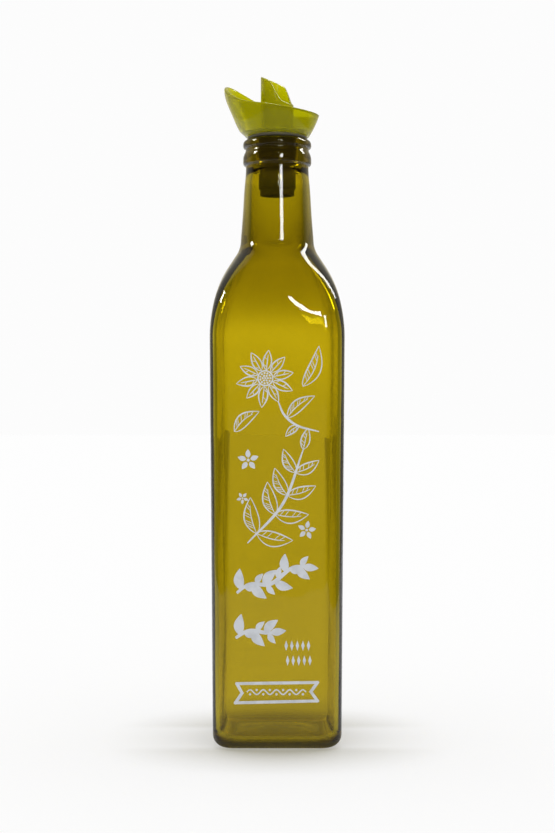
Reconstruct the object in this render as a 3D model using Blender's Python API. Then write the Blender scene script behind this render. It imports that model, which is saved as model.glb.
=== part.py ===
"""Square olive oil bottle with a rubber plug and a drip-catching pourer.

Metres, +Z up.  The origin is on the bottle's axis, in the plane it stands on,
and the front panel faces -Y.
"""

import math

import bmesh
import bpy

# Glass body: a square column that narrows a little towards its base.
BODY_HALF_WIDTH = 0.0288
BASE_HALF_WIDTH = 0.0275
CORNER_RADIUS = 0.0090
HEEL_RADIUS = 0.0055
BEARING_WIDTH = 0.0025
PUSH_UP_HEIGHT = 0.0035
PUSH_UP_SHARES = (0.25, 0.50, 0.75, 0.92)

# Shoulder: a long arc, a tighter one, a straight slope and a hollow curve
# into the neck.  Angles are in degrees from upright.
SHOULDER_HEIGHT = 0.1747
SHOULDER_RADIUS = 0.1015
SHOULDER_TURN = 8.6
SHOULDER_TOP_RADIUS = 0.0402
SHOULDER_LEAN = 32.9
NECK_CURVE_RADIUS = 0.0118
NECK_CURVE_END = 184.0
SHOULDER_ROUNDING_POWER = 2.0

# Neck and finish, the ringed mouth that a cap would grip.
NECK_FOOT_RADIUS = 0.0160
NECK_FOOT_HEIGHT = 0.2179
NECK_MID_RADIUS = 0.01445
NECK_MID_HEIGHT = 0.2400
NECK_TOP_RADIUS = 0.0137
NECK_TOP_HEIGHT = 0.2495
BARREL_RADIUS = 0.0149
BARREL_BOTTOM = 0.2508
BARREL_TOP = 0.2545
GROOVE_RADIUS = 0.0138
GROOVE_HEIGHT = 0.2576
GROOVE_EASE = 0.35
NECK_FOOT_EASE = 0.60
NECK_TOP_EASE = 0.80
NECK_TOP_EASE_HEIGHT = 0.60
BEAD_RADIUS = 0.01495
BEAD_HALF_HEIGHT = 0.0016
BEAD_TURNS = (-60.0, -30.0, 0.0, 30.0, 60.0)
BOTTLE_HEIGHT = 0.2620
LIP_OUTER_RADIUS = 0.0138
LIP_EDGE = 0.0004

# Inside of the glass.
WALL = 0.0028
SHOULDER_SWELL = 0.0016
FLOOR_HEIGHT = 0.0062
FLOOR_EDGE_HEIGHT = 0.0034
INNER_HEEL_RADIUS = 0.0050
NECK_BORE_RADIUS = 0.0115
NECK_BORE_TOP_RADIUS = 0.0113
NECK_BORE_TOP = 0.2450
MOUTH_BORE_RADIUS = 0.0094
MOUTH_BORE_BOTTOM = 0.2490
MOUTH_BORE_EASE = 0.75
LIP_BORE_RADIUS = 0.0099
FLOOR_CORNER_SHARE = 0.60
FLOOR_RISE_SHARE = 0.80

# Gap left between pieces that touch.
GAP = 0.0003

# Rubber plug: a flange on the lip, sealing fins in the mouth and a sleeve below.
FLANGE_RADIUS = 0.0131
FLANGE_THICKNESS = 0.0010
FIN_RADIUS = 0.0090
FIN_HEIGHTS = (0.2590, 0.2556, 0.2522)
FIN_HALF_HEIGHT = 0.0008
SLEEVE_RADIUS = 0.0081
SLEEVE_STEP_HEIGHT = 0.2400
SLEEVE_END_RADIUS = 0.0075
SLEEVE_END_HEIGHT = 0.2370
PLUG_BORE_RADIUS = 0.0071
PLUG_END_BORE_RADIUS = 0.0067

# Pourer: a cup with a beak that catches drips, round a slant-cut tube.
POUR_DIRECTION = math.radians(180.0 - 28.0)
PLASTIC_WALL = 0.0013
CUP_FOOT_RADIUS = 0.0140
CUP_FLARE = 0.0061
CUP_FLARE_POWER = 2.2
CUP_FLARE_HEIGHT = 0.0208
CUP_FLOOR_THICKNESS = 0.0014
CUP_RIM_BACK = 0.2727
CUP_RIM_SLOPE = 0.165
CUP_BACK_REACH = 0.0185
BEAK_LIFT_START = 0.0020
BEAK_LIFT_CURVE = 15.0
BEAK_SHARPNESS = 8
BEAK_LOW_REACH = 0.09
BEAK_HIGH_REACH = 0.22
BEAK_RISE_START = 0.2710
BEAK_RISE_END = 0.2850
SPOUT_RADIUS = 0.0072
SPOUT_BORE_RADIUS = 0.0059
SPOUT_BACK_HEIGHT = 0.2771
SPOUT_TIP_HEIGHT = 0.2904
SPOUT_STEP_SHARE = 0.45
SPOUT_STEP_START = 0.15
SPOUT_STEP_LENGTH = 0.38

# Facets round each piece, and the rings between the heights named above.
QUARTER_STEPS = 10
FLAT_STEPS = 2
PLUG_STEPS = 36
POURER_STEPS = 48
HEEL_STEPS = 5
INNER_HEEL_STEPS = 4
SHOULDER_STEPS = 9
NECK_CURVE_STEPS = 4
INNER_SHOULDER_STEPS = 6
INNER_NECK_CURVE_STEPS = 2
BODY_RING_SHARES = (0.33, 0.66)
CUP_OUTER_SHARES = (0.0, 0.08, 0.18, 0.30, 0.45, 0.62, 0.80, 1.0)
CUP_INNER_SHARES = (1.0, 0.80, 0.60, 0.40, 0.25, 0.12, 0.0)
RIM_SOLVE_STEPS = 8
SHARP_GLASS = 40
SHARP_RUBBER = 30
SHARP_PLASTIC = 35
QUARTER = math.pi / 2


def mix(start, end, share):
    return start + (end - start) * share


def clamp(value):
    return max(0.0, min(1.0, value))


def smooth_step(value):
    value = clamp(value)
    return value * value * (3.0 - 2.0 * value)


def arc(centre, radius, start, end, steps):
    """Points of an arc in the (half width, height) plane, both ends included."""
    points = []
    for step in range(steps + 1):
        angle = math.radians(mix(start, end, step / steps))
        across = centre[0] + radius * math.cos(angle)
        up = centre[1] + radius * math.sin(angle)
        points.append((across, up))
    return points


def outline_reach(angle, half_width, corner_radius):
    """Distance from the axis to a rounded square's outline in one direction."""
    fold = QUARTER / 2 - abs(angle % QUARTER - QUARTER / 2)
    centre = half_width - corner_radius
    if half_width * math.tan(fold) <= centre:
        return half_width / math.cos(fold)
    along = centre * (math.cos(fold) + math.sin(fold))
    return along + math.sqrt(along ** 2 - 2 * centre ** 2 + corner_radius ** 2)


def ring_direction(index, half_width, corner_radius, roundness):
    """Direction of one ring point: packed at the corners of a square section,
    and even round a circular one."""
    quarter, step = divmod(index, QUARTER_STEPS)
    half_steps = QUARTER_STEPS // 2
    octant_step = min(step, QUARTER_STEPS - step)
    centre = half_width - corner_radius
    if octant_step <= FLAT_STEPS:
        square_fold = math.atan2(centre * octant_step / FLAT_STEPS, half_width)
    else:
        turn = (octant_step - FLAT_STEPS) / (half_steps - FLAT_STEPS) * QUARTER / 2
        square_fold = math.atan2(centre + corner_radius * math.sin(turn),
                                 centre + corner_radius * math.cos(turn))
    round_fold = QUARTER / 2 * octant_step / half_steps
    fold = mix(square_fold, round_fold, roundness)
    if step > half_steps:
        fold = QUARTER - fold
    return quarter * QUARTER + fold


def section_ring(half_width, corner_radius, height, roundness=0.0):
    """One closed ring of points, from a rounded square to a circle."""
    corner_radius = min(corner_radius, half_width)
    ring = []
    for index in range(4 * QUARTER_STEPS):
        angle = ring_direction(index, half_width, corner_radius, roundness)
        square_reach = outline_reach(angle, half_width, corner_radius)
        reach = mix(square_reach, half_width, roundness)
        ring.append((reach * math.cos(angle), reach * math.sin(angle), height))
    return ring


def round_ring(radius, height):
    """One closed circular ring with the bottle's number of points."""
    return section_ring(radius, radius, height, 1.0)


def turned_ring(radius, height, steps):
    """One closed circular ring of points."""
    ring = []
    for index in range(steps):
        angle = 2 * math.pi * index / steps
        ring.append((radius * math.cos(angle), radius * math.sin(angle), height))
    return ring


def bridge_rings(mesh, lower, upper):
    count = len(lower)
    for index in range(count):
        following = (index + 1) % count
        mesh.faces.new((lower[index], lower[following], upper[following], upper[index]))


def cap_ring(mesh, ring, height):
    """Close a ring with a fan to a point on the axis."""
    centre = mesh.verts.new((0.0, 0.0, height))
    count = len(ring)
    for index in range(count):
        mesh.faces.new((ring[index], ring[(index + 1) % count], centre))


def add_object(name, mesh, material, sharp_angle):
    """Turn a finished bmesh into a named, smooth-shaded object."""
    bmesh.ops.recalc_face_normals(mesh, faces=mesh.faces)
    data = bpy.data.meshes.new(name)
    mesh.to_mesh(data)
    mesh.free()
    data.shade_smooth()
    data.set_sharp_from_angle(angle=math.radians(sharp_angle))
    data.materials.append(material)
    piece = bpy.data.objects.new(name, data)
    bpy.context.scene.collection.objects.link(piece)
    return piece


def make_material(name, colour, roughness, transmission, ior):
    material = bpy.data.materials.new(name)
    material.use_nodes = True
    shader = material.node_tree.nodes["Principled BSDF"]
    shader.inputs["Base Color"].default_value = (*colour, 1.0)
    shader.inputs["Roughness"].default_value = roughness
    shader.inputs["Metallic"].default_value = 0.0
    shader.inputs["Transmission Weight"].default_value = transmission
    shader.inputs["IOR"].default_value = ior
    return material


def body_half_width(height):
    """Half width of the column between its heel and its shoulder."""
    share = (height - HEEL_RADIUS) / (SHOULDER_HEIGHT - HEEL_RADIUS)
    return mix(BASE_HALF_WIDTH, BODY_HALF_WIDTH, share)


def shoulder_rise(height):
    """Share of the way up from the body to the neck's foot."""
    return clamp((height - SHOULDER_HEIGHT) / (NECK_FOOT_HEIGHT - SHOULDER_HEIGHT))


def shoulder_profile(steps, hollow_steps):
    """Shoulder from the body to the neck's foot, as (half width, height)."""
    lower_steps = steps // 2
    lower_centre = (BODY_HALF_WIDTH - SHOULDER_RADIUS, SHOULDER_HEIGHT)
    points = arc(lower_centre, SHOULDER_RADIUS, 0.0, SHOULDER_TURN, lower_steps)
    across, up = points[-1]
    turn = math.radians(SHOULDER_TURN)
    upper_centre = (
        across - SHOULDER_TOP_RADIUS * math.cos(turn),
        up - SHOULDER_TOP_RADIUS * math.sin(turn),
    )
    upper_steps = steps - lower_steps
    upper = arc(upper_centre, SHOULDER_TOP_RADIUS, SHOULDER_TURN, SHOULDER_LEAN, upper_steps)
    hollow_centre = (NECK_FOOT_RADIUS + NECK_CURVE_RADIUS, NECK_FOOT_HEIGHT)
    hollow_start = 180.0 + SHOULDER_LEAN
    hollow = arc(hollow_centre, NECK_CURVE_RADIUS, hollow_start, NECK_CURVE_END, hollow_steps)
    return points + upper[1:] + hollow


def neck_and_finish_profile():
    """Neck, ring, groove, bead and lip, as (radius, height), going up."""
    lower_radius = mix(NECK_FOOT_RADIUS, NECK_MID_RADIUS, NECK_FOOT_EASE)
    lower_height = (NECK_FOOT_HEIGHT + NECK_MID_HEIGHT) / 2
    upper_radius = mix(NECK_MID_RADIUS, NECK_TOP_RADIUS, NECK_TOP_EASE)
    upper_height = mix(NECK_MID_HEIGHT, NECK_TOP_HEIGHT, NECK_TOP_EASE_HEIGHT)
    groove_side = mix(BARREL_RADIUS, GROOVE_RADIUS, GROOVE_EASE)
    points = [
        (NECK_FOOT_RADIUS, NECK_FOOT_HEIGHT),
        (lower_radius, lower_height),
        (NECK_MID_RADIUS, NECK_MID_HEIGHT),
        (upper_radius, upper_height),
        (NECK_TOP_RADIUS, NECK_TOP_HEIGHT),
        (BARREL_RADIUS - LIP_EDGE, BARREL_BOTTOM),
        (BARREL_RADIUS, BARREL_BOTTOM + LIP_EDGE),
        (BARREL_RADIUS, BARREL_TOP),
        (groove_side, (BARREL_TOP + GROOVE_HEIGHT) / 2),
        (GROOVE_RADIUS, GROOVE_HEIGHT),
    ]
    bead_height = BOTTLE_HEIGHT - LIP_EDGE - BEAD_HALF_HEIGHT
    bead_depth = BEAD_RADIUS - GROOVE_RADIUS
    for degrees in BEAD_TURNS:
        turn = math.radians(degrees)
        reach = BEAD_RADIUS - bead_depth * (1.0 - math.cos(turn))
        points.append((reach, bead_height + BEAD_HALF_HEIGHT * math.sin(turn)))
    points.append((LIP_OUTER_RADIUS, BOTTLE_HEIGHT))
    return points


def outer_glass_rings():
    """Rings of the outer surface, from the edge of the push-up to the lip."""
    bearing_outer = BASE_HALF_WIDTH - HEEL_RADIUS
    bearing_inner = bearing_outer - BEARING_WIDTH
    bearing_corner = CORNER_RADIUS - HEEL_RADIUS
    rings = []
    for share in PUSH_UP_SHARES:
        half_width = bearing_inner * share
        height = PUSH_UP_HEIGHT * math.cos(share * QUARTER)
        rings.append(section_ring(half_width, bearing_corner, height, 1.0 - share ** 2))
    rings.append(section_ring(bearing_inner, bearing_corner, 0.0))
    heel = arc((bearing_outer, HEEL_RADIUS), HEEL_RADIUS, -90.0, 0.0, HEEL_STEPS)
    for half_width, height in heel:
        inset = BASE_HALF_WIDTH - half_width
        rings.append(section_ring(half_width, CORNER_RADIUS - inset, height))
    for share in BODY_RING_SHARES:
        height = mix(HEEL_RADIUS, SHOULDER_HEIGHT, share)
        rings.append(section_ring(body_half_width(height), CORNER_RADIUS, height))
    for half_width, height in shoulder_profile(SHOULDER_STEPS, NECK_CURVE_STEPS):
        roundness = shoulder_rise(height) ** SHOULDER_ROUNDING_POWER
        rings.append(section_ring(half_width, CORNER_RADIUS, height, roundness))
    for radius, height in neck_and_finish_profile():
        rings.append(round_ring(radius, height))
    return rings


def inner_glass_rings():
    """Rings of the inner surface, from the lip down to the floor."""
    eased_radius = mix(MOUTH_BORE_RADIUS, NECK_BORE_TOP_RADIUS, MOUTH_BORE_EASE)
    profile = [
        (LIP_BORE_RADIUS + LIP_EDGE, BOTTLE_HEIGHT),
        (LIP_BORE_RADIUS, BOTTLE_HEIGHT - LIP_EDGE),
        (MOUTH_BORE_RADIUS, mix(MOUTH_BORE_BOTTOM, BOTTLE_HEIGHT, MOUTH_BORE_EASE)),
        (MOUTH_BORE_RADIUS, MOUTH_BORE_BOTTOM),
        (eased_radius, (MOUTH_BORE_BOTTOM + NECK_BORE_TOP) / 2),
        (NECK_BORE_TOP_RADIUS, NECK_BORE_TOP),
        (NECK_BORE_RADIUS, NECK_FOOT_HEIGHT),
    ]
    rings = [round_ring(radius, height) for radius, height in profile]
    shoulder = shoulder_profile(INNER_SHOULDER_STEPS, INNER_NECK_CURVE_STEPS)
    for half_width, height in reversed(shoulder):
        rise = shoulder_rise(height)
        wall = mix(WALL, NECK_FOOT_RADIUS - NECK_BORE_RADIUS, rise ** 2)
        wall += SHOULDER_SWELL * math.sin(math.pi * rise)
        roundness = rise ** SHOULDER_ROUNDING_POWER
        rings.append(section_ring(half_width - wall, CORNER_RADIUS - wall, height, roundness))
    heel_height = FLOOR_EDGE_HEIGHT + INNER_HEEL_RADIUS
    heel_width = body_half_width(heel_height) - WALL
    floor_width = heel_width - INNER_HEEL_RADIUS
    heel = arc((floor_width, heel_height), INNER_HEEL_RADIUS, 0.0, -90.0, INNER_HEEL_STEPS)
    wall_corner = CORNER_RADIUS - WALL
    for half_width, height in heel:
        shrink = (heel_width - half_width) / INNER_HEEL_RADIUS
        corner = wall_corner * mix(1.0, FLOOR_CORNER_SHARE, shrink)
        rings.append(section_ring(half_width, corner, height))
    floor_ring = floor_width / 2
    floor_rise = mix(FLOOR_EDGE_HEIGHT, FLOOR_HEIGHT, FLOOR_RISE_SHARE)
    rings.append(round_ring(floor_ring, floor_rise))
    return rings


def make_bottle(material):
    """Hollow glass bottle with an open mouth, as one closed body."""
    mesh = bmesh.new()
    rings = []
    for ring in outer_glass_rings() + inner_glass_rings():
        rings.append([mesh.verts.new(point) for point in ring])
    for lower, upper in zip(rings, rings[1:]):
        bridge_rings(mesh, lower, upper)
    cap_ring(mesh, rings[0], PUSH_UP_HEIGHT)
    cap_ring(mesh, rings[-1], FLOOR_HEIGHT)
    return add_object("bottle", mesh, material, SHARP_GLASS)


def make_looped_piece(name, rings, material, sharp_angle):
    """Solid whose section is a closed loop round the axis, given ring by ring."""
    mesh = bmesh.new()
    loops = [[mesh.verts.new(point) for point in ring] for ring in rings]
    for index, lower in enumerate(loops):
        bridge_rings(mesh, lower, loops[(index + 1) % len(loops)])
    return add_object(name, mesh, material, sharp_angle)


def make_plug(material):
    """Rubber plug: flange, sealing fins and a hollow sleeve."""
    flange_bottom = BOTTLE_HEIGHT + GAP
    flange_top = flange_bottom + FLANGE_THICKNESS
    profile = [
        (PLUG_BORE_RADIUS, flange_top),
        (FLANGE_RADIUS, flange_top),
        (FLANGE_RADIUS, flange_bottom),
        (SLEEVE_RADIUS, flange_bottom),
    ]
    for height in FIN_HEIGHTS:
        profile.append((SLEEVE_RADIUS, height + FIN_HALF_HEIGHT))
        profile.append((FIN_RADIUS, height + FIN_HALF_HEIGHT / 2))
        profile.append((FIN_RADIUS, height))
        profile.append((SLEEVE_RADIUS, height - FIN_HALF_HEIGHT))
    profile += [
        (SLEEVE_RADIUS, SLEEVE_STEP_HEIGHT),
        (SLEEVE_END_RADIUS, SLEEVE_STEP_HEIGHT - (SLEEVE_RADIUS - SLEEVE_END_RADIUS)),
        (SLEEVE_END_RADIUS, SLEEVE_END_HEIGHT),
        (PLUG_END_BORE_RADIUS, SLEEVE_END_HEIGHT),
        (PLUG_BORE_RADIUS, SLEEVE_STEP_HEIGHT),
    ]
    rings = [turned_ring(radius, height, PLUG_STEPS) for radius, height in profile]
    return make_looped_piece("stopper_plug", rings, material, SHARP_RUBBER)


def pourer_foot():
    """Height of the cup's underside, just clear of the plug's flange."""
    return BOTTLE_HEIGHT + 2 * GAP + FLANGE_THICKNESS


def cup_reach(height, turn):
    """Distance from the axis to the cup's outer face, turn away from the beak."""
    foot = pourer_foot()
    climb = clamp((height - foot) / CUP_FLARE_HEIGHT)
    radius = CUP_FOOT_RADIUS + CUP_FLARE * (1.0 - (1.0 - climb) ** CUP_FLARE_POWER)
    rise = (height - BEAK_RISE_START) / (BEAK_RISE_END - BEAK_RISE_START)
    onset = smooth_step((height - foot) / CUP_FLOOR_THICKNESS / 2)
    beak = mix(BEAK_LOW_REACH * onset, BEAK_HIGH_REACH, smooth_step(rise))
    return radius * (1.0 + beak * ((1.0 + math.cos(turn)) / 2) ** BEAK_SHARPNESS)


def rim_height(turn):
    """Height of the cup's rim: a gentle slope that sweeps up into the beak."""
    height = CUP_RIM_BACK
    for _ in range(RIM_SOLVE_STEPS):
        forward = cup_reach(height, turn) * math.cos(turn)
        lift = BEAK_LIFT_CURVE * max(0.0, forward - BEAK_LIFT_START) ** 2
        height = CUP_RIM_BACK + CUP_RIM_SLOPE * (forward + CUP_BACK_REACH) + lift
    return height


def spout_cut_height(forward):
    """Height of the tube's cut: low behind, a steep step, then up to its tip."""
    along = clamp((forward + SPOUT_RADIUS) / (2 * SPOUT_RADIUS))
    step = smooth_step((along - SPOUT_STEP_START) / SPOUT_STEP_LENGTH)
    share = mix(along, step, SPOUT_STEP_SHARE)
    return mix(SPOUT_BACK_HEIGHT, SPOUT_TIP_HEIGHT, share)


def pourer_ring(reach, height):
    """One ring of the pourer, from functions of the turn away from the beak."""
    ring = []
    for index in range(POURER_STEPS):
        turn = 2 * math.pi * index / POURER_STEPS
        angle = POUR_DIRECTION + turn
        distance = reach(turn)
        ring.append((distance * math.cos(angle), distance * math.sin(angle), height(turn)))
    return ring


def make_pourer(material):
    """Drip cup and slant-cut spout tube, moulded as one piece."""
    foot = pourer_foot()
    floor = foot + CUP_FLOOR_THICKNESS

    def cup_ring(bottom, share, inset):
        def height(turn):
            return mix(bottom, rim_height(turn), share)

        def reach(turn):
            return cup_reach(height(turn), turn) - inset

        return pourer_ring(reach, height)

    def tube_ring(radius, height):
        return pourer_ring(lambda turn: radius, height)

    def level(value):
        return lambda turn: value

    def cut(radius):
        return lambda turn: spout_cut_height(radius * math.cos(turn))

    rings = []
    for share in CUP_OUTER_SHARES:
        rings.append(cup_ring(foot, share, 0.0))
    for share in CUP_INNER_SHARES:
        rings.append(cup_ring(floor, share, PLASTIC_WALL))
    rings.append(tube_ring(SPOUT_RADIUS, level(floor)))
    rings.append(tube_ring(SPOUT_RADIUS, cut(SPOUT_RADIUS)))
    rings.append(tube_ring(SPOUT_BORE_RADIUS, cut(SPOUT_BORE_RADIUS)))
    rings.append(tube_ring(SPOUT_BORE_RADIUS, level(foot)))
    return make_looped_piece("pourer", rings, material, SHARP_PLASTIC)


def main():
    for item in list(bpy.data.objects):
        bpy.data.objects.remove(item, do_unlink=True)
    glass = make_material("olive_green_glass", (0.42, 0.31, 0.01), 0.03, 1.0, 1.52)
    plastic = make_material("clear_olive_plastic", (0.38, 0.36, 0.03), 0.12, 0.9, 1.49)
    rubber = make_material("black_rubber", (0.012, 0.011, 0.009), 0.45, 0.0, 1.5)
    make_bottle(glass)
    make_plug(rubber)
    make_pourer(plastic)


main()
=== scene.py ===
import math

import bmesh
import bpy
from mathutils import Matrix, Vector, noise


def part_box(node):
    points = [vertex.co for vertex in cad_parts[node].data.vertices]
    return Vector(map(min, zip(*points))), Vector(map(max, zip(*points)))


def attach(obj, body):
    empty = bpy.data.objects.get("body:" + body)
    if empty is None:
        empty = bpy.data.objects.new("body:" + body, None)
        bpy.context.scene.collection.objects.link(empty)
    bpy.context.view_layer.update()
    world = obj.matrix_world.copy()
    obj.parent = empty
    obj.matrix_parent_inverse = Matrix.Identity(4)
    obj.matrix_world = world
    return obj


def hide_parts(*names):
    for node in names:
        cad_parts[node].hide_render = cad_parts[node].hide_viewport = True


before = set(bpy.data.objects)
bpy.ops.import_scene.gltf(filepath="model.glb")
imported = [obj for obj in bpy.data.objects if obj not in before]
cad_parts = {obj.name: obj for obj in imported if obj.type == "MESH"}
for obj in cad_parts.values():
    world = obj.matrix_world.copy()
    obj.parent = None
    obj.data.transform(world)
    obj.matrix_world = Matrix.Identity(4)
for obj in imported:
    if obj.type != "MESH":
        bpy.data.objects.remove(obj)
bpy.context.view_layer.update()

mm = 0.001
quarterTurn = math.pi / 2
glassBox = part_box("bottle")
bodyHalf = glassBox[1].x / mm


def mix(start, end, share):
    return start + (end - start) * share


def clamped(value):
    return max(0.0, min(1.0, value))


def eased(value):
    value = clamped(value)
    return value * value * (3.0 - 2.0 * value)


def arcPath(centre, radius, startDegrees, endDegrees, steps):
    path = []
    for step in range(steps + 1):
        angle = math.radians(mix(startDegrees, endDegrees, step / steps))
        path.append((centre[0] + radius * math.cos(angle), centre[1] + radius * math.sin(angle)))
    return path


def softPath(corners, steps=5, spacing=3.0):
    # corners are (across, up, rounding)
    path = []
    last = len(corners) - 1
    for index, (across, up, rounding) in enumerate(corners):
        here = Vector((across, up))
        if index in (0, last) or rounding <= 0:
            path.append(here)
            continue
        before = Vector(corners[index - 1][:2]) - here
        after = Vector(corners[index + 1][:2]) - here
        most = 0.49 * min(before.length, after.length)  # a rounding takes under half a side
        reach = min(rounding, most)
        start = here + before.normalized() * reach
        end = here + after.normalized() * reach
        for step in range(steps + 1):
            share = step / steps
            path.append(start.lerp(here, share).lerp(here.lerp(end, share), share))
    filled = [path[0]]
    for point in path[1:]:
        gap = (point - filled[-1]).length
        if gap < 1e-6:
            continue
        pieces = max(1, math.ceil(gap / spacing))
        origin = filled[-1]
        for step in range(1, pieces + 1):
            filled.append(origin.lerp(point, step / pieces))
    return [(point.x, point.y) for point in filled]


def squareReach(angle, half, corner):
    # distance from the axis to a rounded square's outline
    fold = quarterTurn / 2 - abs(angle % quarterTurn - quarterTurn / 2)
    centre = half - corner
    if half * math.tan(fold) <= centre:
        return half / math.cos(fold)
    along = centre * (math.cos(fold) + math.sin(fold))
    return along + math.sqrt(max(0.0, along ** 2 - 2 * centre ** 2 + corner ** 2))


def addPoint(mesh, reach, angle, height):
    spot = Vector((reach * math.cos(angle), reach * math.sin(angle), height))
    return mesh.verts.new(spot * mm)


def bridgeRings(mesh, rings):
    for lower, upper in zip(rings, rings[1:]):
        for index in range(len(lower)):
            following = (index + 1) % len(lower)
            mesh.faces.new((lower[index], lower[following], upper[following], upper[index]))


def fanCap(mesh, ring, point):
    centre = mesh.verts.new(Vector(point) * mm)
    for index in range(len(ring)):
        mesh.faces.new((ring[index], ring[(index + 1) % len(ring)], centre))


def addObject(name, mesh, material):
    data = bpy.data.meshes.new(name)
    mesh.to_mesh(data)
    mesh.free()
    data.materials.append(material)
    thing = bpy.data.objects.new(name, data)
    bpy.context.scene.collection.objects.link(thing)
    return thing


def addPiece(name, mesh, material, node=None):
    bmesh.ops.recalc_face_normals(mesh, faces=mesh.faces)
    piece = addObject(name, mesh, material)
    piece.data.shade_smooth()
    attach(piece, "root")
    if node:
        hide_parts(node)
    return piece


def newGroup(name, inputs, output):
    # plain values go in and one comes out
    group = bpy.data.node_groups.new(name, "ShaderNodeTree")
    kind = "NodeSocketFloat"
    for label, value in inputs.items():
        socket = group.interface.new_socket(name=label, in_out="INPUT", socket_type=kind)
        socket.default_value = value
    group.interface.new_socket(name=output, in_out="OUTPUT", socket_type=kind)
    return group, group.nodes.new("NodeGroupInput"), group.nodes.new("NodeGroupOutput")


def feed(tree, socket, value):
    # sets a number on the socket, or links an output to it
    if isinstance(value, (int, float)):
        socket.default_value = value
    else:
        tree.links.new(value, socket)


def addMath(tree, operation, first, second=None, third=None):
    node = tree.nodes.new("ShaderNodeMath")
    node.operation = operation
    for index, value in enumerate((first, second, third)):
        if value is not None:
            feed(tree, node.inputs[index], value)
    return node.outputs[0]


def addRamp(tree, value, low, high, start, end, kind="LINEAR"):
    ramp = tree.nodes.new("ShaderNodeMapRange")
    ramp.interpolation_type = kind
    labels = ("Value", "From Min", "From Max", "To Min", "To Max")
    for label, given in zip(labels, (value, low, high, start, end)):
        feed(tree, ramp.inputs[label], given)
    return ramp.outputs["Result"]


def addSmoothRamp(tree, value, low, high, start, end):
    return addRamp(tree, value, low, high, start, end, "SMOOTHSTEP")


def addBlend(tree, factor, first, second):
    blend = tree.nodes.new("ShaderNodeMix")
    blend.data_type = "RGBA"
    blend.inputs["A"].default_value = (*first, 1.0)
    blend.inputs["B"].default_value = (*second, 1.0)
    tree.links.new(factor, blend.inputs["Factor"])
    return blend.outputs["Result"]


def addNoise(tree, scale, detail):
    place = tree.nodes.new("ShaderNodeTexCoord")
    texture = tree.nodes.new("ShaderNodeTexNoise")
    tree.links.new(place.outputs["Object"], texture.inputs["Vector"])
    feed(tree, texture.inputs["Scale"], scale)
    texture.inputs["Detail"].default_value = detail
    return texture.outputs["Fac"]


def splitPlace(tree, kind="Object"):
    place = tree.nodes.new("ShaderNodeTexCoord")
    split = tree.nodes.new("ShaderNodeSeparateXYZ")
    tree.links.new(place.outputs[kind], split.inputs["Vector"])
    return [split.outputs[axis] for axis in "XYZ"]


def makeRippleGroup():
    # slow waves of a moulded surface, with a finer ripple on top
    group, start, end = newGroup("mouldedRipple", {
        "Wave Scale": 60.0,
        "Wave Amount": 1.0,
        "Ripple Scale": 400.0,
        "Ripple Amount": 0.1,
    }, "Height")
    wave = addNoise(group, start.outputs["Wave Scale"], 1.0)
    ripple = addNoise(group, start.outputs["Ripple Scale"], 2.0)
    big = addMath(group, "MULTIPLY", wave, start.outputs["Wave Amount"])
    small = addMath(group, "MULTIPLY", ripple, start.outputs["Ripple Amount"])
    group.links.new(addMath(group, "ADD", big, small), end.inputs["Height"])
    return group


def makeHandlingGroup():
    # faint smears and dust that make a gloss uneven
    group, start, end = newGroup("handlingMarks", {
        "Clean Roughness": 0.02,
        "Smear Roughness": 0.08,
        "Smear Scale": 45.0,
    }, "Roughness")
    smear = addNoise(group, start.outputs["Smear Scale"], 6.0)
    faint, full = 0.48, 0.72  # noise where a smear starts, and where it is full
    clean, smeared = start.outputs["Clean Roughness"], start.outputs["Smear Roughness"]
    group.links.new(addRamp(group, smear, faint, full, clean, smeared), end.inputs["Roughness"])
    return group


rippleGroup = makeRippleGroup()
handlingGroup = makeHandlingGroup()
print("shared node groups ready")


def newMaterial(name):
    material = bpy.data.materials.new(name)
    material.use_nodes = True
    return material, material.node_tree, material.node_tree.nodes["Principled BSDF"]


def placeGroup(tree, group, values):
    node = tree.nodes.new("ShaderNodeGroup")
    node.node_tree = group
    for label, value in values.items():
        node.inputs[label].default_value = value
    return node.outputs[0]


def addBump(tree, shader, height, distance):
    bump = tree.nodes.new("ShaderNodeBump")
    bump.inputs["Distance"].default_value = distance
    tree.links.new(height, bump.inputs["Height"])
    tree.links.new(bump.outputs["Normal"], shader.inputs["Normal"])


def makeClearMaterial(name, look):
    material, tree, shader = newMaterial(name)
    shader.inputs["Base Color"].default_value = (*look["tint"], 1.0)
    shader.inputs["Metallic"].default_value = 0.0
    shader.inputs["Transmission Weight"].default_value = look["transmission"]
    shader.inputs["IOR"].default_value = look["ior"]
    shader.inputs["Specular IOR Level"].default_value = look["specular"]
    shader.inputs["Coat Weight"].default_value = look["coat"]
    shader.inputs["Coat Roughness"].default_value = look["coatRoughness"]
    rough = placeGroup(tree, handlingGroup, look["marks"])
    if "paintedShadeTint" in look:
        # worn where it stands, and painted shade: a darker tint in the base and the neck
        up = splitPlace(tree)[2]
        rough = addMath(tree, "MAXIMUM", rough, addRamp(tree, up, *look["scuff"], 0.0))
        neck = addMath(tree, "MULTIPLY", addRamp(tree, up, *look["paintedShadeNeck"], 0.0, 1.0),
                       addRamp(tree, up, *look["deepMouth"], 1.0, 0.0))
        deep = addMath(tree, "MAXIMUM", addRamp(tree, up, *look["paintedShadeBase"], 1.0, 0.0), neck)
        tone = addBlend(tree, deep, look["tint"], look["paintedShadeTint"])
        tree.links.new(tone, shader.inputs["Base Color"])
    tree.links.new(rough, shader.inputs["Roughness"])
    addBump(tree, shader, placeGroup(tree, rippleGroup, look["ripple"]), look["bumpDepth"])
    absorb = tree.nodes.new("ShaderNodeVolumeAbsorption")
    absorb.inputs["Color"].default_value = (*look["volumeColour"], 1.0)
    absorb.inputs["Density"].default_value = look["volumeDensity"]
    tree.links.new(absorb.outputs["Volume"], tree.nodes["Material Output"].inputs["Volume"])
    return material


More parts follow.
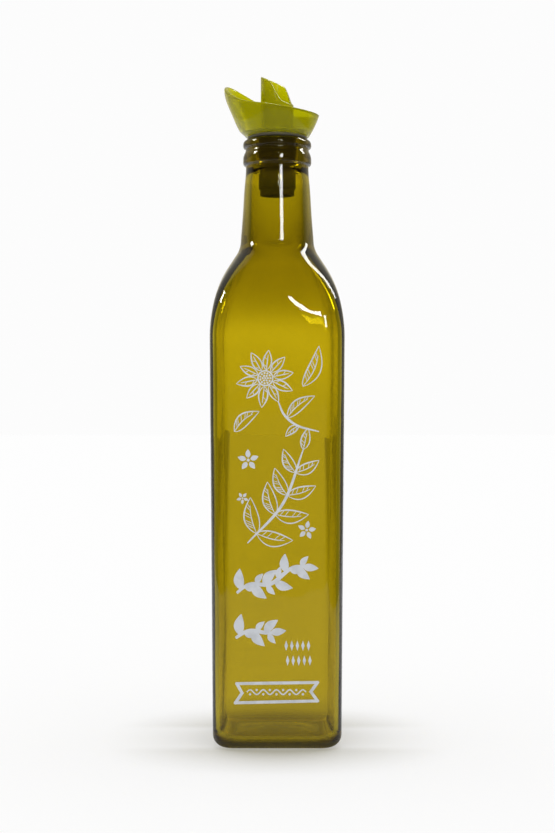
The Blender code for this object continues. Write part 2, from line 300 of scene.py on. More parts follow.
glassLook = {
    "tint": (0.96, 0.857, 0.36),
    "ior": 1.52,
    "specular": 0.5,
    # painted shade: a darker glass tint for the base and the neck
    "paintedShadeTint": (0.80, 0.72, 0.28),
    "paintedShadeBase": (0.010, 0.014),  # metres up, where the painted shade in the base fades out
    "paintedShadeNeck": (0.206, 0.222),  # and where the neck's comes in
    "deepMouth": (0.240, 0.246),  # and goes again
    "scuff": (0.0015, 0.0050, 0.80),  # metres up, fully and no longer worn, and its roughness
    "transmission": 1.0,
    "coat": 0.0,
    "coatRoughness": 0.04,
    "volumeColour": (0.896, 0.883, 0.50),
    "volumeDensity": 1370.0,
    "bumpDepth": 0.0004,
    "marks": {"Clean Roughness": 0.0, "Smear Roughness": 0.03, "Smear Scale": 40.0},
    "ripple": {"Wave Scale": 55.0, "Wave Amount": 0.35,
               "Ripple Scale": 350.0, "Ripple Amount": 0.01},
}

glassForm = {
    "ringPoints": 256,
    "flatShare": 0.66,  # share of a ring's points that lie on its flat sides
    "baseHalf": 27.5,
    "corner": 9.0,
    "heel": 5.5,
    "heelStart": -88.0,  # degrees, just outside the ring it stands on
    "heelSteps": 9,
    "bearingWidth": 2.5,
    "bearingRings": (2.2, 1.2, 0.3),  # in from the ring's outer edge
    "pushUpGap": 0.3,
    "pushUpRings": (0.06, 0.2, 0.35, 0.5, 0.64, 0.77, 0.88, 0.96),
    "pushUp": 3.5,
    "bodySteps": 26,
    "outerShoulder": (20, 7),  # steps over its arcs and over its hollow
    "shoulderHeight": 174.7,
    "shoulderRadius": 101.5,
    "shoulderTurn": 8.6,  # degrees from upright, where the tighter arc starts
    "shoulderTop": 40.2,
    "shoulderLean": 32.9,
    "neckCurve": 11.8,
    "neckCurveEnd": 183.5,
    "roundingPower": 2.0,
    "neckFoot": (16.0, 217.9),
    "wall": 2.8,
    "shoulderSwell": 1.6,  # the shoulder's wall is thickest in its upper half
    "innerHeel": 5.0,
    "floor": 6.2,
    "floorEdge": 3.4,
    "innerNeckFoot": 11.5,
    "floorCorner": 0.6,  # how much of the inner corner is left there
    "floorRings": (0.8, 0.55, 0.3, 0.1),
    "innerSteps": 34,
    "innerShoulder": (14, 4),
    "wallWave": 0.22,  # how far the blown inner wall wanders
    "waveSize": (26.0, 34.0),  # across and up
    "knurlPitch": 5,  # ring points from one knurl to the next
    "knurlWidth": 2,
    "knurlDepth": 0.35,
}


def octantOf(index):
    # a ring's quarters are mirrored at their corners
    perQuarter = glassForm["ringPoints"] // 4
    quarter, step = divmod(index, perQuarter)
    return quarter, step, min(step, perQuarter - step)


def glassDirection(index, half, corner, roundness):
    # packs the ring's points into the corners of a square section
    halfSteps = glassForm["ringPoints"] // 8
    flatSteps = int(halfSteps * glassForm["flatShare"])
    quarter, step, octantStep = octantOf(index)
    centre = half - corner
    if octantStep <= flatSteps:
        squareFold = math.atan2(centre * octantStep / flatSteps, half)
    else:
        turn = (octantStep - flatSteps) / (halfSteps - flatSteps) * quarterTurn / 2
        squareFold = math.atan2(centre + corner * math.sin(turn), centre + corner * math.cos(turn))
    roundFold = quarterTurn / 2 * octantStep / halfSteps
    fold = mix(squareFold, roundFold, roundness)
    return quarter * quarterTurn + (fold if step <= halfSteps else quarterTurn - fold)


def glassRing(mesh, half, corner, height, roundness=0.0, wander=0.0, heights=None):
    corner = min(corner, half)
    ring = []
    for index in range(glassForm["ringPoints"]):
        angle = glassDirection(index, half, corner, roundness)
        reach = mix(squareReach(angle, half, corner), half, roundness)
        x, y = reach * math.cos(angle), reach * math.sin(angle)
        if wander:
            wide, tall = glassForm["waveSize"]
            swell = wander * noise.noise(Vector((x / wide, y / wide, height / tall)))
            x += swell * math.cos(angle)
            y += swell * math.sin(angle)
        level = heights[index] if heights else height
        ring.append(mesh.verts.new(Vector((x, y, level)) * mm))
    return ring


def bodyHalfAt(height):
    share = (height - glassForm["heel"]) / (glassForm["shoulderHeight"] - glassForm["heel"])
    return mix(glassForm["baseHalf"], bodyHalf, share)


def shoulderRise(height):
    foot, top = glassForm["shoulderHeight"], glassForm["neckFoot"][1]
    return clamped((height - foot) / (top - foot))


def shoulderPath(steps, hollowSteps):
    # two arcs, a short slope and the hollow below the neck, going up: (half, height)
    form = glassForm
    turn, lean, topRadius = form["shoulderTurn"], form["shoulderLean"], form["shoulderTop"]
    centre = (bodyHalf - form["shoulderRadius"], form["shoulderHeight"])
    path = arcPath(centre, form["shoulderRadius"], 0.0, turn, steps // 2)
    (half, height), bend = path[-1], math.radians(turn)
    upperCentre = (half - topRadius * math.cos(bend), height - topRadius * math.sin(bend))
    path += arcPath(upperCentre, topRadius, turn, lean, steps - steps // 2)[1:]
    hollowCentre = (form["neckFoot"][0] + form["neckCurve"], form["neckFoot"][1])
    hollow = arcPath(hollowCentre, form["neckCurve"], 180.0 + lean, form["neckCurveEnd"],
                     hollowSteps)
    below, above = path[-1], hollow[0]
    for share in (0.2, 0.4, 0.6, 0.8):
        path.append((mix(below[0], above[0], share), mix(below[1], above[1], share)))
    return path + hollow


def finishPath():
    # neck, ring, groove, bead and lip, going up: (radius, height, rounding)
    foot = glassForm["neckFoot"]
    return softPath([
        (foot[0], foot[1], 0.0),
        (15.07, 228.9, 12.0),
        (14.45, 240.0, 8.0),
        (13.8, 246.5, 4.0),
        (13.68, 250.4, 0.7),
        (14.55, 250.75, 0.45),
        (14.95, 251.5, 0.7),
        (14.92, 254.6, 1.4),
        (13.85, 256.9, 0.9),
        (13.75, 257.9, 0.5),
        (14.85, 258.4, 0.7),
        (15.0, 259.9, 0.9),
        (14.6, 261.2, 0.9),
        (13.3, 262.0, 0.6),
        (12.6, 262.0, 0.0),
    ], spacing=2.2)


def mouthPath():
    # lip, mouth bore and neck bore, going down
    return softPath([
        (12.6, 262.0, 0.0),
        (10.5, 262.0, 0.8),
        (9.75, 261.2, 0.8),
        (9.4, 258.0, 2.0),
        (9.4, 249.6, 1.5),
        (10.9, 247.2, 1.5),
        (11.3, 243.5, 2.5),
        (glassForm["innerNeckFoot"], glassForm["neckFoot"][1], 0.0),
    ], spacing=2.6)


def knurlHeights():
    # knurled ring that the bottle stands on
    heights = []
    for index in range(glassForm["ringPoints"]):
        raised = (octantOf(index)[2] + 1) % glassForm["knurlPitch"] < glassForm["knurlWidth"]
        heights.append(0.0 if raised else glassForm["knurlDepth"])
    return heights


def makeBottleGlass(material):
    # one closed skin: under the base, up the outside, over the lip and down the inside
    form = glassForm
    mesh = bmesh.new()
    rings = []

    def ring(half, corner, height, roundness=0.0, wander=0.0, heights=None):
        rings.append(glassRing(mesh, half, corner, height, roundness, wander, heights))

    bearingOuter = form["baseHalf"] - form["heel"]
    bearingInner = bearingOuter - form["bearingWidth"]
    bearingCorner = form["corner"] - form["heel"]
    for share in form["pushUpRings"]:
        height = mix(form["knurlDepth"], form["pushUp"], math.cos(share * quarterTurn))
        ring((bearingInner - form["pushUpGap"]) * share, bearingCorner, height, 1.0 - share ** 2)
    ring(bearingInner, bearingCorner, form["knurlDepth"])
    for inset in form["bearingRings"]:
        ring(bearingOuter - inset, bearingCorner, 0.0, heights=knurlHeights())
    heel, steps = form["heel"], form["heelSteps"]
    for half, height in arcPath((bearingOuter, heel), heel, form["heelStart"], 0.0, steps):
        ring(half, form["corner"] - (form["baseHalf"] - half), height)
    for step in range(1, form["bodySteps"]):
        height = mix(heel, form["shoulderHeight"], step / form["bodySteps"])
        ring(bodyHalfAt(height), form["corner"], height)
    for half, height in shoulderPath(*form["outerShoulder"]):
        ring(half, form["corner"], height, shoulderRise(height) ** form["roundingPower"])
    for radius, height in finishPath()[1:] + mouthPath()[1:]:
        ring(radius, radius, height, 1.0)
    neckWall = form["neckFoot"][0] - form["innerNeckFoot"]
    for half, height in reversed(shoulderPath(*form["innerShoulder"])[:-1]):
        rise = shoulderRise(height)
        swell = form["shoulderSwell"] * math.sin(math.pi * rise ** 2)
        wall = mix(form["wall"], neckWall, rise ** 2) + swell
        ring(half - wall, form["corner"] - wall, height, rise ** form["roundingPower"],
             form["wallWave"] * (1.0 - rise))
    innerCorner = form["corner"] - form["wall"]
    heelHeight = form["floorEdge"] + form["innerHeel"]
    for step in range(1, form["innerSteps"]):
        height = mix(form["shoulderHeight"], heelHeight, step / form["innerSteps"])
        ring(bodyHalfAt(height) - form["wall"], innerCorner, height, 0.0, form["wallWave"])
    heelHalf = bodyHalfAt(heelHeight) - form["wall"]
    floorHalf = heelHalf - form["innerHeel"]
    for half, height in arcPath((floorHalf, heelHeight), form["innerHeel"], 0.0, -90.0, steps):
        shrink = (heelHalf - half) / form["innerHeel"]
        ring(half, innerCorner * mix(1.0, form["floorCorner"], shrink), height, 0.0,
             form["wallWave"] * (1.0 - shrink))
    for share in form["floorRings"]:
        height = mix(form["floor"], form["floorEdge"], share ** 2)
        ring(floorHalf * share, innerCorner * form["floorCorner"], height, 1.0 - share ** 2)
    bridgeRings(mesh, rings)
    fanCap(mesh, rings[0], (0.0, 0.0, form["pushUp"]))
    fanCap(mesh, rings[-1], (0.0, 0.0, form["floor"]))
    return addPiece("bottleGlass", mesh, material, "bottle")


glassMaterial = makeClearMaterial("oliveGreenGlass", glassLook)
bottleGlass = makeBottleGlass(glassMaterial)
print("glass made:", len(bottleGlass.data.polygons), "faces")


plugForm = {
    "ringPoints": 128,
    "flangeTop": 263.3,
    "flangeBottom": 262.3,
    "flangeRadius": 13.1,
    "finHeights": (259.0, 255.6, 252.2),
    "finProfile": ((8.1, 0.9, 0.3), (9.0, 0.45, 0.2), (8.95, 0.0, 0.2), (8.1, -0.75, 0.3)),
    "sleeveRadius": 8.1,
    "stepHeight": 240.0,
    "endRadius": 7.5,
    "endHeight": 237.0,
    "bore": 7.1,
    "endBore": 6.7,
}

rubberLook = {
    "colour": (0.11, 0.10, 0.075),
    "marks": {"Clean Roughness": 0.32, "Smear Roughness": 0.5, "Smear Scale": 220.0},
    "ripple": {"Wave Scale": 300.0, "Wave Amount": 0.3,
               "Ripple Scale": 2600.0, "Ripple Amount": 0.5},
    "bumpDepth": 0.00012,
}


def makeSolidMaterial(name, look):
    material, tree, shader = newMaterial(name)
    shader.inputs["Base Color"].default_value = (*look["colour"], 1.0)
    rough = placeGroup(tree, handlingGroup, look["marks"])
    tree.links.new(rough, shader.inputs["Roughness"])
    addBump(tree, shader, placeGroup(tree, rippleGroup, look["ripple"]), look["bumpDepth"])
    return material


def turnedLoop(mesh, path, points):
    # path is a closed loop of (radius, height)
    angles = [2 * math.pi * index / points for index in range(points)]
    rings = [[addPoint(mesh, radius, angle, height) for angle in angles] for radius, height in path]
    bridgeRings(mesh, rings + rings[:1])


def makePlug(material):
    # corners are (radius, height, rounding), fins are (radius, above their height, rounding)
    form = plugForm
    corners = [
        (form["bore"], form["flangeTop"] - 1.0, 0.0),
        (form["bore"], form["flangeTop"], 0.3),
        (form["flangeRadius"], form["flangeTop"], 0.35),
        (form["flangeRadius"], form["flangeBottom"], 0.35),
        (form["sleeveRadius"], form["flangeBottom"], 0.4),
    ]
    for fin in form["finHeights"]:
        corners += [(radius, fin + up, rounding) for radius, up, rounding in form["finProfile"]]
    corners += [
        (form["sleeveRadius"], form["stepHeight"], 0.4),
        (form["endRadius"], form["stepHeight"] - 0.5, 0.4),
        (form["endRadius"], form["endHeight"], 0.4),
        (form["endBore"], form["endHeight"], 0.3),
        (form["endBore"], form["stepHeight"], 0.4),
        (form["bore"], form["stepHeight"] + 0.6, 0.4),
        (form["bore"], form["flangeTop"] - 1.2, 0.0),
    ]
    mesh = bmesh.new()
    turnedLoop(mesh, softPath(corners, steps=3), form["ringPoints"])
    return addPiece("rubberPlug", mesh, material, "stopper_plug")


rubberMaterial = makeSolidMaterial("blackRubber", rubberLook)
rubberPlug = makePlug(rubberMaterial)
print("plug made")


pourerForm = {
    "ringPoints": 192,
    "pourDegrees": 152.0,  # which way the beak points
    "wall": 1.3,
    "foot": 263.6,
    "footRadius": 14.0,
    "flare": 6.1,
    "flarePower": 2.2,
    "flareHeight": 20.8,
    "floorThickness": 1.4,
    "rimBack": 272.7,
    "rimSlope": 0.165,
    "backReach": 18.5,
    "beakLiftStart": 2.0,
    "beakLiftCurve": 0.015,
    "beakSharpness": 8,
    "beakReach": (0.09, 0.22),  # low and high
    "beakRise": (271.0, 285.0),
    "spoutRadius": 7.2,
    "spoutBore": 5.9,
    "spoutBack": 277.1,
    "spoutTip": 290.4,
    "stepShare": 0.45,  # how much of the slanted cut is a step
    "stepStart": 0.15,
    "stepLength": 0.38,
    "outerSteps": 22,
    "outerSpacing": 1.3,
    "innerSteps": 18,
    "innerSpacing": 1.2,
    "lipDegrees": (30, 60, 90, 120, 150),
    "cupFillet": (0.9, 0.6),  # across and up
    "spoutFillet": ((0.7, 0.0), (0.15, 0.2)),
    "spoutRings": (0.06, 0.3, 0.55, 0.8, 0.97),
    "spoutLip": (0.12, 0.35, 0.65, 0.88),
    "spoutCrown": 0.22,
    "spoutCrownDrop": 0.15,
    "boreRings": (0.97, 0.7, 0.4, 0.1),
    "footBevel": (0.3, 0.6),  # at the bore and at the outside
}

plasticLook = {
    "tint": (0.54, 0.52, 0.0),
    "ior": 1.37,
    "specular": 0.2,
    "transmission": 0.72,
    "coat": 0.15,
    "coatRoughness": 0.04,
    "volumeColour": (0.95, 0.95, 0.30),
    "volumeDensity": 500.0,
    "bumpDepth": 0.0002,
    "marks": {"Clean Roughness": 0.11, "Smear Roughness": 0.2, "Smear Scale": 120.0},
    "ripple": {"Wave Scale": 140.0, "Wave Amount": 0.3,
               "Ripple Scale": 900.0, "Ripple Amount": 0.05},
}


def cupReach(height, turn):
    form = pourerForm
    climb = clamped((height - form["foot"]) / form["flareHeight"])
    radius = form["footRadius"] + form["flare"] * (1.0 - (1.0 - climb) ** form["flarePower"])
    bottom, top = form["beakRise"]
    near, far = form["beakReach"]
    onset = eased((height - form["foot"]) / form["floorThickness"] / 2)
    beak = mix(near * onset, far, eased((height - bottom) / (top - bottom)))
    return radius * (1.0 + beak * ((1.0 + math.cos(turn)) / 2) ** form["beakSharpness"])


def rimHeight(turn):
    form = pourerForm
    height = form["rimBack"]
    for _ in range(8):
        forward = cupReach(height, turn) * math.cos(turn)
        lift = form["beakLiftCurve"] * max(0.0, forward - form["beakLiftStart"]) ** 2
        height = form["rimBack"] + form["rimSlope"] * (forward + form["backReach"]) + lift
    return height


def spoutCut(forward):
    form = pourerForm
    along = clamped((forward + form["spoutRadius"]) / (2 * form["spoutRadius"]))
    step = eased((along - form["stepStart"]) / form["stepLength"])
    return mix(form["spoutBack"], form["spoutTip"], mix(along, step, form["stepShare"]))


def pourerRing(mesh, reachOf, heightOf):
    ring = []
    for index in range(pourerForm["ringPoints"]):
        turn = 2 * math.pi * index / pourerForm["ringPoints"]
        angle = math.radians(pourerForm["pourDegrees"]) + turn
        height = heightOf(turn)
        ring.append(addPoint(mesh, reachOf(turn, height), angle, height))
    return ring


def makePourer(material):
    form = pourerForm
    mesh = bmesh.new()
    floor = form["foot"] + form["floorThickness"]
    wall = form["wall"]
    rings = []

    def cupWall(bottom, share, inset):
        rings.append(pourerRing(mesh, lambda turn, height: cupReach(height, turn) - inset,
                                lambda turn: mix(bottom, rimHeight(turn) - wall / 2, share)))

    def cupLip(degrees):
        # half-round edge between the cup's two faces
        across = wall / 2 * (1.0 - math.cos(math.radians(degrees)))
        up = wall / 2 * math.sin(math.radians(degrees))
        rings.append(pourerRing(mesh, lambda turn, height: cupReach(rimHeight(turn), turn) - across,
                                lambda turn: rimHeight(turn) - wall / 2 + up))

    def tube(radius, heightOf):
        rings.append(pourerRing(mesh, lambda turn, height: radius, heightOf))

    def spoutWall(radius, shares):
        for share in shares:
            tube(radius, lambda turn: mix(floor, spoutCut(radius * math.cos(turn)), share))

    for step in range(form["outerSteps"] + 1):
        cupWall(form["foot"], (step / form["outerSteps"]) ** form["outerSpacing"], 0.0)
    for degrees in form["lipDegrees"]:
        cupLip(degrees)
    filletAcross, filletUp = form["cupFillet"]
    for step in range(form["innerSteps"], -1, -1):
        cupWall(floor + filletUp, (step / form["innerSteps"]) ** form["innerSpacing"], wall)
    floorReach = cupReach(floor, math.pi) - wall
    tube(floorReach - filletAcross, lambda turn: floor)
    tube((floorReach + form["spoutRadius"]) / 2, lambda turn: floor)
    for across, up in form["spoutFillet"]:
        tube(form["spoutRadius"] + across, lambda turn: floor + up)
    spoutWall(form["spoutRadius"], form["spoutRings"])
    for share in form["spoutLip"]:
        radius = form["spoutRadius"] - (form["spoutRadius"] - form["spoutBore"]) * share
        crown = form["spoutCrown"] * math.sin(math.pi * share)
        tube(radius, lambda turn: (
            spoutCut(radius * math.cos(turn)) - form["spoutCrownDrop"] + crown))
    spoutWall(form["spoutBore"], form["boreRings"])
    boreBevel, footBevel = form["footBevel"]
    tube(form["spoutBore"], lambda turn: form["foot"] + boreBevel)
    tube(form["spoutBore"] + boreBevel, lambda turn: form["foot"])
    tube(form["footRadius"] - footBevel, lambda turn: form["foot"])
    bridgeRings(mesh, rings + rings[:1])
    return addPiece("dripPourer", mesh, material, "pourer")


plasticMaterial = makeClearMaterial("clearOlivePlastic", plasticLook)
dripPourer = makePourer(plasticMaterial)
print("pourer made")


enamelLook = {
    "thick": (0.82, 0.85, 0.90),
    "thin": (0.71, 0.74, 0.78),
    "patchScale": 260.0,
    "patchRange": (0.35, 0.55),  # noise where the layer is thin, and where it is thick
    "grainScale": 2400.0,
    "roughness": 0.5,
    "bumpDepth": 0.00004,
}

printForm = {
    "lift": 0.02,  # the print stands on the front panel
    "layer": 0.05,
    "stack": 0.0003,  # strokes that cross lie on one another
    "stackTurns": 211,
    "left": -18.0,
    "right": 17.6,
    "line": 0.62,
    "lineEnds": (0.08, 0.92),  # a line starts and ends this far into its swell
    "lineTaper": 0.6,
    "evenTaper": 0.05,
    "edgeWeight": 0.8,  # a leaf's second edge, as a share of the line's width
    "ribWeight": 0.7,
    "hatchWeight": 0.5,
    "leafSteps": 14,
    "leafShape": (0.8, 0.9),  # below 1: fuller near its foot, and rounder
    "dotSteps": 14,
    "daisyCentre": (-5.0, 157.0),
    "daisyReach": 12.0,
    "petals": 10,
    "petalTurn": 11.0,
    "petalVary": 0.05,
    "petalFullness": 0.21,
    "heart": 0.26,  # share of the daisy's reach
    "heartGap": 0.03,
    "heartDots": ((0.0, 1), (0.09, 6), (0.18, 11)),
    "heartDot": 0.44,
    "daisyStem": ((0.5, 147.0), (3.0, 141.5), (8.5, 137.0), (17.6, 134.5)),
    "daisyStemWeight": 1.6,
    "daisyLeaves": (  # foot, tip, fullness, bow and hatching
        ((4.2, 140.4), (15.8, 149.5), 0.16, 0.08, 7),
        ((9.0, 137.0), (3.5, 132.5), 0.2, -0.06, 3),
        ((-18.0, 134.5), (-7.6, 143.0), 0.19, 0.1, 6),
        ((10.8, 153.5), (17.6, 170.5), 0.15, -0.1, 7),
    ),
    "sprigFoot": (-12.5, 87.5),
    "sprigTip": (11.0, 127.0),
    "sprigBend": (3.2, -3.0),
    "sprigWeight": 1.9,
    "sprigPairs": 4,
    "sprigSpread": (0.16, 0.82),  # first and last pair, as shares of the stem
    "sprigLean": (58.0, 42.0),
    "sprigLeaf": (16.5, 10.0),
    "sprigFullness": 0.2,
    "sprigBow": 0.07,
    "sprigTopLeaf": (2.0, 9.0),
    "blossoms": (((-12.2, 122.5), 4.6), ((12.4, 93.0), 4.0), ((-14.6, 106.5), 2.6)),
    "blossomTurn": 20.0,  # degrees for each millimetre of its radius
    "blossomPetal": (0.22, 0.3),  # where a petal starts, and its fullness
    "blossomHeart": 0.14,
    "garlands": (((-17.0, 66.5), (11.5, 77.5), 6), ((-17.5, 47.5), (-2.0, 51.5), 3)),
    "garlandLine": 1.7,
    "garlandTaper": 0.3,
    "garlandSwing": 1.6,
    "garlandSteps": 6,  # from one leaf to the next
    "garlandLeaf": 9.0,
    "garlandShrink": 0.82,  # the last leaf's share of the first one's size
    "garlandFullness": 0.24,
    "garlandBow": 0.07,
    "garlandLean": 52.0,  # degrees from the stem
    "garlandSmall": (0.9, 0.6),  # the small leaf's share of that lean and of a leaf's size
    "garlandEnd": 0.75,
    "lozengeRows": (44.3, 38.0),
    "lozengeStart": 3.8,
    "lozengePitch": 2.35,
    "lozengeShift": 0.25,  # the second row's share of the pitch
    "lozengeCount": 5,
    "lozengeHalf": (0.72, 2.2),
    "ribbonCorners": ((-17.6, 20.2), (17.0, 21.0), (14.2, 24.9),
                      (17.0, 28.8), (-17.0, 28.3), (-14.8, 24.3)),
    "ribbonLine": 1.3,
    "ribbonOverlap": 0.4,  # share of the line's width past each corner
    "ribbonWave": (-12.8, 12.2, 24.7),  # from, to and height
    "ribbonWaves": 4.5,
    "ribbonSwing": 1.0,
    "ribbonTaper": 0.2,
    "ribbonDrop": 0.9,  # of its dots
    "ribbonDot": 0.5,
}


def makeEnamelMaterial():
    # fired white print: slightly patchy, with a fine grain
    look = enamelLook
    material, tree, shader = newMaterial("whiteEnamel")
    patch = addNoise(tree, look["patchScale"], 3.0)
    share = addRamp(tree, patch, *look["patchRange"], 0.0, 1.0)
    tone = addBlend(tree, share, look["thin"], look["thick"])
    tree.links.new(tone, shader.inputs["Base Color"])
    shader.inputs["Roughness"].default_value = look["roughness"]
    addBump(tree, shader, addNoise(tree, look["grainScale"], 2.0), look["bumpDepth"])
    return material


def onPanel(point, depth):
    across, height = point
    return Vector((across, -(bodyHalfAt(height) + depth), height)) * mm


def addShape(mesh, outline):
    # a flat closed shape, raised a little off the glass
    back = printForm["lift"]
    turns = len(mesh.faces) % printForm["stackTurns"]
    front = back + printForm["layer"] + printForm["stack"] * turns
    near = [mesh.verts.new(onPanel(point, front)) for point in outline]
    far = [mesh.verts.new(onPanel(point, back)) for point in outline]
    mesh.faces.new(near)
    mesh.faces.new(far[::-1])
    bridgeRings(mesh, [near, far])


def flowing(corners, steps):
    # smooth curve through a few points
    points = [Vector(corner) for corner in corners]
    points = [2 * points[0] - points[1]] + points + [2 * points[-1] - points[-2]]
    path = []
    for a, b, c, d in zip(points, points[1:], points[2:], points[3:]):
        for step in range(steps):
            t = step / steps
            path.append(0.5 * ((2 * b) + (c - a) * t + (2 * a - 5 * b + 4 * c - d) * t * t
                               + (3 * b - a - 3 * c + d) * t ** 3))
    path.append(points[-2])
    return path


def addStroke(mesh, path, width, taper=printForm["lineTaper"]):
    # brush line, widest in the middle
    count = len(path) - 1
    left, right = [], []
    for index, point in enumerate(path):
        ahead = path[min(index + 1, count)] - path[max(index - 1, 0)]
        side = Vector((-ahead.y, ahead.x)).normalized()
        swell = math.sin(math.pi * mix(*printForm["lineEnds"], index / count)) ** taper
        half = width * swell / 2
        left.append(point + side * half)
        right.append(point - side * half)
    addShape(mesh, [tuple(p) for p in left + right[::-1]])


def addDot(mesh, centre, radius):
    addShape(mesh, arcPath(centre, radius, 0.0, 360.0, printForm["dotSteps"])[:-1])


def leafSides(start, tip, fullness, bow):
    # the two edges and the midrib of a pointed leaf
    start, tip = Vector(start), Vector(tip)
    along = tip - start
    side = Vector((-along.y, along.x))
    belly, roundness = printForm["leafShape"]
    left, right, rib = [], [], []
    for step in range(printForm["leafSteps"] + 1):
        share = step / printForm["leafSteps"]
        middle = start + along * share + side * bow * math.sin(math.pi * share)
        swell = fullness * math.sin(math.pi * share ** belly) ** roundness
        left.append(middle + side * swell)
        right.append(middle - side * swell)
        rib.append(middle)
    return left, right, rib


def addLeaf(mesh, start, tip, fullness, bow, hatch):
    # drawn leaf: two edges, a midrib that stops short, and hatching on one half
    form = printForm
    left, right, rib = leafSides(start, tip, fullness, bow)
    addStroke(mesh, left, form["line"])
    addStroke(mesh, right, form["line"] * form["edgeWeight"])
    addStroke(mesh, rib[:-3], form["line"] * form["ribWeight"])
    for index in range(hatch):
        at = 2 + int(index * (len(rib) - 5) / hatch)
        foot, edge = rib[at], left[at + 2]
        addStroke(mesh, [foot, foot.lerp(edge, 0.5), foot.lerp(edge, 0.9)],
                  form["line"] * form["hatchWeight"])


def addFullLeaf(mesh, start, tip, fullness, bow=0.0):
    left, right, rib = leafSides(start, tip, fullness, bow)
    addShape(mesh, [tuple(p) for p in left + right[-2:0:-1]])


def turnedBy(direction, degrees):
    turn = math.radians(degrees)
    return Vector((direction.x * math.cos(turn) - direction.y * math.sin(turn),
                   direction.x * math.sin(turn) + direction.y * math.cos(turn)))


def drawDaisy(mesh):
    # open daisy, its stem and four leaves round it
    form = printForm
    centre, reach = Vector(form["daisyCentre"]), form["daisyReach"]
    for index in range(form["petals"]):
        out = turnedBy(Vector((1.0, 0.0)), 360.0 * index / form["petals"] + form["petalTurn"])
        length = reach * (1.0 + form["petalVary"] * math.sin(3.0 * index))
        start = centre + out * reach * (form["heart"] + form["heartGap"])
        addLeaf(mesh, start, centre + out * length, form["petalFullness"], 0.0, 2)
    spoke = Vector((reach * form["heart"], 0.0))
    rim = [centre + turnedBy(spoke, 10.0 * step) for step in range(37)]
    addStroke(mesh, rim, form["line"], form["evenTaper"])
    for ring, count in form["heartDots"]:
        for index in range(count):
            out = turnedBy(Vector((reach * ring, 0.0)), 360.0 * index / count)
            addDot(mesh, centre + out, form["heartDot"])
    addStroke(mesh, flowing(form["daisyStem"], 8), form["line"] * form["daisyStemWeight"])
    for leaf in form["daisyLeaves"]:
        addLeaf(mesh, *leaf)


def drawBlossom(mesh, centre, radius):
    centre = Vector(centre)
    start, fullness = printForm["blossomPetal"]
    for index in range(5):
        out = turnedBy(Vector((radius, 0.0)), 72.0 * index + printForm["blossomTurn"] * radius)
        addFullLeaf(mesh, centre + out * start, centre + out, fullness)
    addDot(mesh, centre, radius * printForm["blossomHeart"])


def drawSprig(mesh):
    # tall sprig with pairs of leaves and one at its tip, and loose blossoms
    form = printForm
    foot, tip, fullness = Vector(form["sprigFoot"]), Vector(form["sprigTip"]), form["sprigFullness"]
    stem = flowing([foot, foot.lerp(tip, 0.5) + Vector(form["sprigBend"]), tip], 12)
    addStroke(mesh, stem, form["line"] * form["sprigWeight"])
    for pair in range(form["sprigPairs"]):
        share = mix(*form["sprigSpread"], pair / (form["sprigPairs"] - 1))
        step = int(share * (len(stem) - 1))
        ahead = (stem[step + 1] - stem[step]).normalized()
        for hand, hatch in ((1.0, 7), (-1.0, 4)):
            out = turnedBy(ahead, hand * mix(*form["sprigLean"], share))
            end = stem[step] + out * mix(*form["sprigLeaf"], share)
            end.x = max(form["left"], min(form["right"], end.x))
            addLeaf(mesh, stem[step], end, fullness, form["sprigBow"] * hand, hatch)
    addLeaf(mesh, tip, tip + Vector(form["sprigTopLeaf"]), fullness, 0.0, 4)
    for centre, radius in form["blossoms"]:
        drawBlossom(mesh, centre, radius)


def drawGarland(mesh, start, end, leaves):
    # bold waving vine with a large and a small leaf by turns on both sides
    form = printForm
    start, end = Vector(start), Vector(end)
    size, fullness, bow = form["garlandLeaf"], form["garlandFullness"], form["garlandBow"]
    smallLean, smallSize = form["garlandSmall"]
    perLeaf = form["garlandSteps"]
    path = []
    for step in range(leaves * perLeaf + 1):
        share = step / (leaves * perLeaf)
        swing = form["garlandSwing"] * math.sin(math.pi * leaves * share / 2)
        path.append(start.lerp(end, share) + Vector((0.0, swing)))
    addStroke(mesh, path, form["garlandLine"], form["garlandTaper"])
    for leaf in range(leaves):
        hand = 1.0 if leaf % 2 == 0 else -1.0
        at = leaf * perLeaf + 2
        ahead = (path[at + 1] - path[at - 1]).normalized()
        out = turnedBy(ahead, hand * form["garlandLean"]) * size
        tip = path[at] + out * mix(1.0, form["garlandShrink"], leaf / leaves)
        addFullLeaf(mesh, path[at], tip, fullness, bow * hand)
        out = turnedBy(ahead, -hand * form["garlandLean"] * smallLean) * size * smallSize
        addFullLeaf(mesh, path[at + 2], path[at + 2] + out, fullness, -bow * hand)
    ahead = (path[-1] - path[-3]).normalized()
    addFullLeaf(mesh, path[-2], path[-2] + ahead * size * form["garlandEnd"], fullness)


def drawLozenges(mesh):
    form = printForm
    wide, tall = form["lozengeHalf"]
    for row, level in enumerate(form["lozengeRows"]):
        for index in range(form["lozengeCount"]):
            shift = index + form["lozengeShift"] * row
            across = form["lozengeStart"] + form["lozengePitch"] * shift
            addShape(mesh, [(across - wide, level), (across, level - tall),
                            (across + wide, level), (across, level + tall)])


